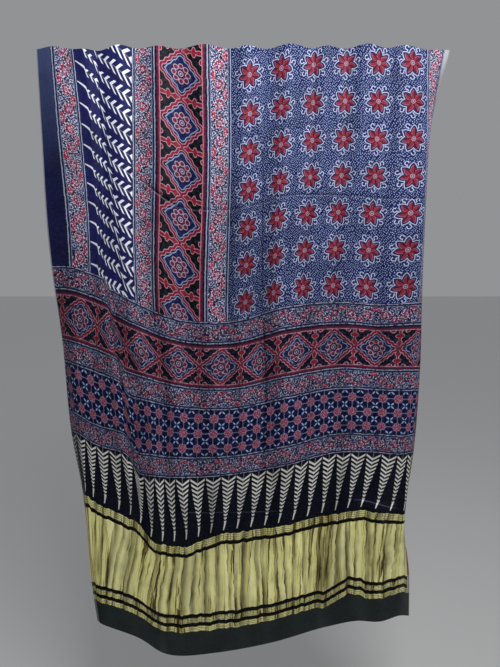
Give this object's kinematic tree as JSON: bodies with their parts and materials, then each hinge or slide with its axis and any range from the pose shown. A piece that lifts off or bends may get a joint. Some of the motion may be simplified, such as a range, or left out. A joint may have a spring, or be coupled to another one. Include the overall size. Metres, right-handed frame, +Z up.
{
  "type": "hung ajrakh cloth",
  "caption": "Long printed silk cloth hung from its level upper edge in soft lengthwise folds, with a star field, side strips, cross borders and a gold band.",
  "frame": {"origin": "middle of the upper edge, in the plane that the folds stand on both sides of", "axes": "+Z up, against the fall of the cloth; +X across it to the right as seen from the printed side, which faces -Y"},
  "size_m": [0.9016, 0.0615, 1.4705],
  "materials": {
    "silk": "soft satin, printed and dyed"
  },
  "bodies": {
    "root": {"cloth": "silk"}
  },
  "joints": []
}
